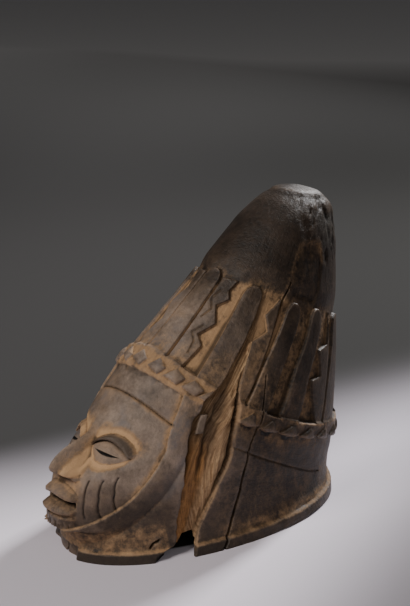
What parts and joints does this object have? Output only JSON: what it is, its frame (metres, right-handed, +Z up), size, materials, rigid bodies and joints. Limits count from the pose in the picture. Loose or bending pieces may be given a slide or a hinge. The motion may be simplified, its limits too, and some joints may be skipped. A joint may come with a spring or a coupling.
{
  "type": "carved helmet mask",
  "caption": "Hollow carved wooden helmet mask, open below, with a stylised face, a raised headband and a tall swept-back coiffure of finger strips and zigzags.",
  "frame": {"origin": "on the standing plane of the rim, under the middle of the mask's bounding box", "axes": "+Z up from the rim to the crown, the face looks along -Y, +X is the mask's own left, the side that the picture shows"},
  "size_m": [0.1998, 0.357, 0.3208],
  "materials": {
    "wood": "dark worn patina with ochre dust in the hollows and bare fibres in the worn channel"
  },
  "bodies": {
    "root": {"mask": "wood"}
  },
  "joints": []
}
